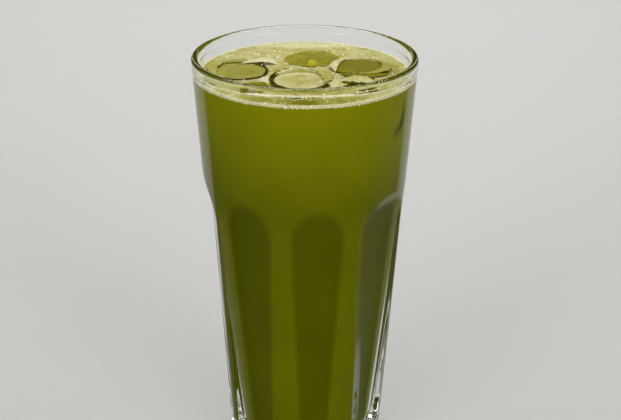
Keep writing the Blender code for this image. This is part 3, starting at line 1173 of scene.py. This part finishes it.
    def build(self) -> None:
        """Make the film, the foam line, the loose bubbles and the drops on the wall, and hand them over."""
        film = self.make_film()
        loose = film.copy()
        loose.data = film.data.copy()
        loose.name = "loose_bubbles"
        bpy.context.scene.collection.objects.link(loose)
        write_attribute(film, "film", self.film_at(places(film)))
        film.data.materials.append(self.film)
        hand_over(film, Slot.FROTH, ("froth",), sharp=50)
        points = places(loose)
        upper = points[:, 2] > self.form.level + 0.1 * MM
        near_ice = 1 - smooth_step(self.from_ice(points), 0.2, 2.5)
        drift = 0.5 + 0.5 * np.sin(points[:, 0] / (3.7 * MM) + 2.0) * np.sin(points[:, 1] / (4.9 * MM))
        self.scatter(loose, upper * np.clip(0.12 + 0.5 * near_ice + 0.3 * drift ** 3, 0, 1), 0.55, 0.12 * MM, 0.5 * MM,
                     0.15, 11)
        line = self.foam_line()
        under = smooth_step(places(line)[:, 2], self.form.level - 0.6 * MM, self.form.level - 0.2 * MM)
        self.scatter(line, under, 5.0, 0.14 * MM, 0.36 * MM, 0.1, 23)
        splash = self.wall_splash()
        spots = places(splash)
        front = smooth_step(-spots[:, 1], 8 * MM, 24 * MM)
        low = 1 - smooth_step(spots[:, 2], self.form.level + 1.2 * MM, self.form.level + 5.2 * MM)
        self.scatter(splash, front * low, 0.3, 0.08 * MM, 0.26 * MM, 0.2, 37)


@dataclass(frozen=True)
class DishFill:
    """What lies level in the dish of a leaning piece of ice.

    The depth under the lower side of the rim is in millimetres, less than 0 where it spills over the
    rim, and spill is how far it then runs. The film says how thick the froth is.
    """

    ice: IceForm
    under_rim: float
    film: float
    crown: float = 0.0
    spill: float = 0.1
    spots: tuple[Patch, ...] = ()

    def lie(self, unit: np.ndarray) -> np.ndarray:
        """Fit a flat unit disc to the dish, so that its top lies level and its edge meets the ice.

        Args:
            unit: Rows of x, y and z, with z above 0 on the top and below 0 on the underside.

        Returns:
            The points about the ice's own axis, in metres.
        """
        ice = self.ice
        angle = np.arctan2(unit[:, 1], unit[:, 0])
        slope = math.tan(math.radians(ice.lean)) * np.cos(angle - math.radians(ice.towards)) * ice.dish_radius()
        lowest = -self.under_rim - math.tan(math.radians(ice.lean)) * ice.dish_radius()
        near, far = np.zeros(len(unit)), np.ones(len(unit))
        for _ in range(20):
            middle = (near + far) / 2
            inside = ice.dish_depth(middle) < lowest + slope * middle
            near, far = np.where(inside, middle, near), np.where(inside, far, middle)
        radius = np.hypot(unit[:, 0], unit[:, 1])
        share = near * radius
        top = lowest + slope * share + self.crown * (1 - radius ** 2)
        below = np.minimum(ice.dish_depth(share), top) - 0.15
        ragged = 1 + 0.3 * np.sin(3 * angle + ice.melt_turn) + 0.2 * np.sin(7 * angle)
        spill = self.spill * ragged * radius * np.where(unit[:, 2] > 0, 1.0, min(self.spill - 0.1, 0.8))
        reach = (ice.dish_radius() * share + spill) * MM
        return np.stack([reach * np.cos(angle), reach * np.sin(angle), np.where(unit[:, 2] > 0, top, below) * MM], 1)


class DishFroth:
    """The froth and drink that lie in the dished tops of the ice."""

    def __init__(self, form: GlassForm, fills: tuple[DishFill, ...], material: bpy.types.Material) -> None:
        """Keep the sizes and the material."""
        self.form = form
        self.fills = fills
        self.material = material

    def build(self) -> None:
        """Make each filling and hand it over."""
        steps = spread(0.0, 1.0, 0.08)
        disc = [(step, 1.0) for step in steps] + [(step, -1.0) for step in reversed(steps)]
        for fill in self.fills:
            piece = lathe(f"froth_on_{fill.ice.name}", disc, 96)
            unit = places(piece)
            points = fill.ice.placed(fill.ice.melted(fill.lie(unit)), self.form.level)
            move_to(piece, points)
            film = fill.film * (0.72 + 0.28 * np.hypot(unit[:, 0], unit[:, 1]) ** 2)
            for spot in fill.spots:
                pull = spot.pull(points)
                film = film * (1 - pull) + spot.film * pull
            write_attribute(piece, "film", film)
            face_outwards(piece)
            piece.data.materials.append(self.material)
            hand_over(piece, Slot.FROTH, sharp=60)


LEFT_SPOTS = (Patch(-23.3, 8.4, 4.4, 2.4, 0, 0.1),)
BACK_SPOTS = (Patch(2.9, 12.0, 2.0, 4.2, 0, 0.52),)


@dataclass(frozen=True)
class DabPoint:
    """A point on a dab of froth: its place, how high its top stands over the level, and its half width, in mm."""

    x: float
    y: float
    top: float
    half_width: float


class FrothDab:
    """A dab of thick froth that lies over the ice, flattened and drawn out to both ends."""

    ROUND = 20
    ALONG = 40
    THICK = 0.55

    def __init__(self, name: str, form: GlassForm, film: float, points: tuple[DabPoint, ...],
                 material: bpy.types.Material) -> None:
        """Keep the path, how thick the froth lies, and the material."""
        self.name = name
        self.form = form
        self.film = film
        self.points = points
        self.material = material

    def path(self) -> np.ndarray:
        """Give rows of x, y, top and half width along a smooth curve through the points."""
        rows = np.array([(p.x, p.y, p.top, p.half_width) for p in self.points])
        ends = np.vstack([2 * rows[0] - rows[1], rows, 2 * rows[-1] - rows[-2]])
        curve = []
        for step in range(self.ALONG + 1):
            at = min(step / self.ALONG * (len(rows) - 1), len(rows) - 1 - 1e-6)
            part, t = int(at), at - int(at)
            a, b, c, d = ends[part:part + 4]
            curve.append(0.5 * (2 * b + (c - a) * t + (2 * a - 5 * b + 4 * c - d) * t ** 2
                                + (3 * b - a - 3 * c + d) * t ** 3))
        return np.array(curve)

    def build(self) -> None:
        """Make the dab and hand it over."""
        path = self.path()
        heading = np.gradient(path[:, :2], axis=0)
        heading /= np.linalg.norm(heading, axis=1, keepdims=True)
        points, faces = [], []
        for row, (x, y, top, half) in enumerate(path):
            ragged = 1 + 0.1 * math.sin(1.3 * row + path[0, 0]) + 0.12 * math.sin(0.6 * row + path[0, 1])
            ends = math.sqrt(max(math.sin(math.pi * (row + 0.5) / (self.ALONG + 1)), 0.02))
            for step in range(self.ROUND):
                turn = math.tau * step / self.ROUND
                side = half * ends * math.cos(turn) * (ragged if math.cos(turn) > 0 else 2 - ragged)
                rise = self.THICK * ends * (math.sin(turn) if turn < math.pi else 0.8 * math.sin(turn))
                points.append(((x - heading[row, 1] * side) * MM, (y + heading[row, 0] * side) * MM,
                               self.form.level + (top - self.THICK + rise) * MM))
        for row in range(self.ALONG):
            for step in range(self.ROUND):
                after = (step + 1) % self.ROUND
                faces.append((row * self.ROUND + step, row * self.ROUND + after, (row + 1) * self.ROUND + after,
                              (row + 1) * self.ROUND + step))
        faces += [tuple(range(self.ROUND)), tuple(range(self.ALONG * self.ROUND, (self.ALONG + 1) * self.ROUND))]
        mesh = bpy.data.meshes.new(self.name)
        mesh.from_pydata(points, [], faces)
        dab = bpy.data.objects.new(self.name, mesh)
        bpy.context.scene.collection.objects.link(dab)
        face_outwards(dab)
        write_attribute(dab, "film", np.full(len(dab.data.vertices), self.film))
        dab.data.materials.append(self.material)
        hand_over(dab, Slot.FROTH, sharp=60)


DABS = {
    "froth_flake": (0.9, (
        DabPoint(-25.3, 8.6, 1.5, 0.4), DabPoint(-21.2, 9.6, 2.1, 1.7), DabPoint(-17.3, 10.2, 2.6, 2.7),
        DabPoint(-14.0, 10.3, 2.3, 3.1), DabPoint(-10.9, 8.9, 1.2, 1.2))),
    "froth_crescent": (0.8, (
        DabPoint(17.2, 12.6, 2.3, 0.7), DabPoint(14.4, 11.8, 2.4, 1.3), DabPoint(12.2, 7.6, 2.3, 1.6),
        DabPoint(11.3, 3.4, 2.2, 1.9), DabPoint(11.9, -1.4, 1.6, 0.9))),
    "froth_cap": (0.72, (
        DabPoint(12.2, -14.6, 1.6, 0.6), DabPoint(15.6, -13.7, 2.3, 2.7), DabPoint(20.0, -14.0, 2.65, 3.8),
        DabPoint(24.0, -15.2, 2.4, 3.2), DabPoint(27.4, -17.0, 1.6, 0.8))),
    "froth_wedge": (0.75, (
        DabPoint(10.4, -3.4, 1.0, 0.5), DabPoint(11.2, -9.0, 1.3, 1.5), DabPoint(11.6, -14.5, 1.5, 2.6),
        DabPoint(12.2, -19.0, 1.4, 3.2), DabPoint(12.8, -22.2, 0.9, 1.6))),
    "froth_on_thick_wall": (0.48, (
        DabPoint(3.4, -3.2, 2.1, 0.7), DabPoint(6.4, -5.2, 2.5, 2.1), DabPoint(8.6, -9.8, 2.5, 2.4),
        DabPoint(8.4, -14.6, 2.4, 1.7), DabPoint(6.8, -18.4, 2.1, 0.5))),
    "froth_over_left_rim": (0.5, (
        DabPoint(-26.5, 11.2, 2.5, 0.9), DabPoint(-32.5, 8.7, 2.4, 1.8), DabPoint(-35.8, 3.2, 2.0, 2.0),
        DabPoint(-35.4, -3.3, 1.6, 1.8), DabPoint(-31.6, -8.4, 1.2, 0.9))),
    "froth_over_right_rim": (0.34, (
        DabPoint(26.9, 13.2, 2.0, 0.8), DabPoint(31.2, 8.1, 2.3, 1.6), DabPoint(31.6, 0.7, 2.5, 1.9),
        DabPoint(27.2, -4.2, 2.4, 1.7), DabPoint(20.9, -5.8, 2.2, 0.8))),
}
OVER_FRONT_EDGE = (
    DabPoint(12.9, -2.4, 1.3, 0.8), DabPoint(16.4, -5.6, 1.6, 1.7), DabPoint(21.2, -7.0, 1.8, 2.1),
    DabPoint(26.0, -6.9, 1.8, 2.1), DabPoint(30.0, -4.9, 1.6, 1.7), DabPoint(32.9, -1.6, 1.3, 0.8))


class TideLine:
    """The thin line of froth left on the wall where the drink has swung up, highest at the front."""

    COLUMNS = 260
    ROUND = 8
    REACH = math.radians(100)

    def __init__(self, form: GlassForm, material: bpy.types.Material) -> None:
        """Keep the sizes and the material."""
        self.form = form
        self.material = material

    def build(self) -> None:
        """Make the line and hand it over."""
        points, faces = [], []
        for column in range(self.COLUMNS + 1):
            angle = -self.REACH + 2 * self.REACH * column / self.COLUMNS
            ragged = math.sin(37 * angle) + 0.8 * math.sin(61 * angle + 1) + 0.6 * math.sin(17 * angle + 2)
            taper = math.sqrt(max(math.sin(math.pi * (column + 0.5) / (self.COLUMNS + 1)), 0.0))
            half = (0.31 + 0.05 * ragged) * taper
            height = self.form.height / MM - 2.95 - 3.05 * math.sin(angle) ** 2 + 0.06 * math.sin(23 * angle)
            wall = self.form.cavity(height * MM) / MM
            for step in range(self.ROUND):
                turn = math.tau * step / self.ROUND
                out = wall + 0.05 + 0.13 * taper * math.cos(turn)
                points.append((out * math.sin(angle) * MM, -out * math.cos(angle) * MM,
                               (height + half * math.sin(turn)) * MM))
        for column in range(self.COLUMNS):
            for step in range(self.ROUND):
                after = (step + 1) % self.ROUND
                faces.append((column * self.ROUND + step, column * self.ROUND + after,
                              (column + 1) * self.ROUND + after, (column + 1) * self.ROUND + step))
        faces += [tuple(range(self.ROUND)), tuple(range(self.COLUMNS * self.ROUND, (self.COLUMNS + 1) * self.ROUND))]
        mesh = bpy.data.meshes.new("froth_tide_line")
        mesh.from_pydata(points, [], faces)
        line = bpy.data.objects.new("froth_tide_line", mesh)
        bpy.context.scene.collection.objects.link(line)
        face_outwards(line)
        line.data.materials.append(self.material)
        hand_over(line, Slot.FROTH, sharp=60)


class Studio:
    """The plain pale sweep, the soft lights and the camera at the photograph's angle."""

    FOCAL = 70.0
    PITCH = 23.966
    ROLL = 0.268
    CAMERA_AT = (2.4545 * MM, -450.35 * MM, 310.36 * MM)
    SOFT_ROOM = 0.42
    DIM_ROOM = 0.02
    LIT_TABLE = 0.60
    THROUGH_LIP = 0.5
    # How bright the table is round the glass: degrees from straight behind it, to the right, and a share.
    TABLE_ROUND = ((-56, 0.0), (110, 0.0), (-52, 1.0), (46, 1.0), (50, 0.25), (92, 0.2))

    def sweep(self) -> None:
        """Make the floor that curves up into a wall."""
        outline = [(-1.6, 0.0)] + [(y, 0.0) for y in spread(-1.2, 0.25, 0.25)]
        outline += [(0.25 + 0.5 * math.sin(math.radians(a)), 0.5 - 0.5 * math.cos(math.radians(a)))
                    for a in range(6, 91, 6)]
        outline += [(0.75, 1.9)]
        width = 1.8
        points = [(side * width, y, z) for y, z in outline for side in (-1, 1)]
        faces = [(2 * row, 2 * row + 1, 2 * row + 3, 2 * row + 2) for row in range(len(outline) - 1)]
        mesh = bpy.data.meshes.new("studio_sweep")
        mesh.from_pydata(points, [], faces)
        sweep = bpy.data.objects.new("studio_sweep", mesh)
        bpy.context.scene.collection.objects.link(sweep)
        mesh.materials.append(StudioSweep().build())
        mesh.shade_smooth()
        sweep.visible_glossy = False

    def light(self, name: str, at: tuple[float, float, float], size: tuple[float, float], power: float,
              aim: tuple[float, float, float] = (0.0, 0.0, 0.12)) -> None:
        """Hang one soft panel.

        Args:
            name: Name of the light.
            at: Where it hangs.
            size: Its width and height.
            power: Its power in watts.
            aim: The place it faces.
        """
        data = bpy.data.lights.new(name, "AREA")
        data.shape = "RECTANGLE"
        data.size, data.size_y = size
        data.energy = power
        lamp = bpy.data.objects.new(name, data)
        bpy.context.scene.collection.objects.link(lamp)
        lamp.location = at
        lamp.rotation_mode = "QUATERNION"
        lamp.rotation_quaternion = (Vector(aim) - Vector(at)).to_track_quat("-Z", "Y")

    def camera(self) -> None:
        """Set the camera where the photograph was taken from."""
        data = bpy.data.cameras.new("camera")
        data.lens = self.FOCAL
        data.sensor_width = 36.0
        data.clip_start = 0.01
        camera = bpy.data.objects.new("camera", data)
        bpy.context.scene.collection.objects.link(camera)
        camera.matrix_world = (Matrix.Translation(self.CAMERA_AT) @ Matrix.Rotation(math.radians(90 - self.PITCH), 4, "X")
                               @ Matrix.Rotation(math.radians(self.ROLL), 4, "Z"))
        bpy.context.scene.camera = camera

    def world(self) -> None:
        """Fill the room with even pale light."""
        world = bpy.data.worlds.new("soft_room")
        bpy.context.scene.world = world
        world.use_nodes = True
        tree = world.node_tree
        tree.nodes.clear()
        place = add(tree, "ShaderNodeTexCoord")
        axes = add(tree, "ShaderNodeSeparateXYZ", {0: place.outputs["Generated"]})
        turn = add(tree, "ShaderNodeMath", {0: axes.outputs["X"], 1: axes.outputs["Y"]}, operation="ARCTAN2")
        share = add(tree, "ShaderNodeMapRange", {"Value": turn.outputs[0], "From Min": -math.pi, "From Max": math.pi})
        ahead = add(tree, "ShaderNodeValToRGB", {0: share.outputs[0]}, stops=tuple(
            (0.5 + degrees / 360, (bright, bright, bright, 1.0)) for degrees, bright in self.TABLE_ROUND))
        low = add(tree, "ShaderNodeMapRange", {"Value": axes.outputs["Z"], "From Min": -0.05, "From Max": 0.0,
                                               "To Min": 1.0, "To Max": 0.0})
        table = add(tree, "ShaderNodeMath", {0: ahead.outputs[0], 1: low.outputs[0]}, operation="MULTIPLY")
        mirrored = add(tree, "ShaderNodeMapRange", {"Value": table.outputs[0], "To Min": self.DIM_ROOM,
                                                    "To Max": self.LIT_TABLE})
        path = add(tree, "ShaderNodeLightPath")
        clear = add(tree, "ShaderNodeMath", {0: path.outputs["Is Glossy Ray"], 1: path.outputs["Is Transmission Ray"]},
                    operation="MAXIMUM")
        behind = add(tree, "ShaderNodeMath", {0: path.outputs["Is Transmission Ray"], 1: self.THROUGH_LIP,
                                              2: mirrored.outputs[0]}, operation="MULTIPLY_ADD")
        strength = add(tree, "ShaderNodeMix", {0: clear.outputs[0], 2: self.SOFT_ROOM, 3: behind.outputs[0]},
                       data_type="FLOAT")
        light = add(tree, "ShaderNodeBackground", {"Color": linear("#F2F3F5"), "Strength": strength.outputs[0]})
        add(tree, "ShaderNodeOutputWorld", {"Surface": light.outputs[0]})

    def build(self) -> None:
        """Set the whole studio up."""
        self.camera()
        self.sweep()
        self.world()
        self.light("softbox_above", (0.0, 0.65, 1.2), (1.2, 0.6), 22.5, (0.0, 0.6, 0.1))
        self.light("softbox_left", (-0.75, -0.9, 0.5), (0.5, 0.5), 5.0)
        self.light("softbox_right", (0.75, -0.9, 0.5), (0.5, 0.5), 5.7)
        scene = bpy.context.scene
        scene.view_settings.view_transform = "Standard"
        scene.view_settings.look = "None"
        scene.cycles.max_bounces = 24
        scene.cycles.transmission_bounces = 20
        scene.cycles.transparent_max_bounces = 24
        scene.cycles.glossy_bounces = 12
        scene.cycles.diffuse_bounces = 4
        scene.cycles.caustics_reflective = False
        scene.cycles.caustics_refractive = False


def main() -> None:
    """Build the studio, the glass and everything in it."""
    logging.basicConfig(level=logging.INFO, format="%(name)s %(message)s")
    form = GlassForm()
    Studio().build()
    PressedGlass(form, PressedSodaLime()).build()
    ice, froth, bubble = ClearIce().build(), MilkFroth().build(), FrothBubble().build()
    pooled = MilkFroth("matcha_pooled_on_ice", middle="#A2981A").build()
    Drink(form, ICE, MatchaAtGlass(), MatchaSurface()).build()
    FloatingIce(form, ICE, ice).build()
    Froth(form, ICE, froth, bubble).build()
    DishFroth(form, (DishFill(ICE[1], 0.3, 0.8), DishFill(ICE[0], 0.0, 0.38, 0.1, 0.7, LEFT_SPOTS)), froth).build()
    DishFroth(form, (DishFill(ICE[2], -0.1, 0.16, 0.1, 1.5, BACK_SPOTS), DishFill(ICE[3], 0.0, 0.0, 0.0, 1.4)),
              pooled).build()
    for name, (film, points) in DABS.items():
        FrothDab(name, form, film, points, froth).build()
    FrothDab("matcha_over_front_edge", form, 0.0, OVER_FRONT_EDGE, pooled).build()
    TideLine(form, bubble).build()


if __name__ == "__main__":
    main()
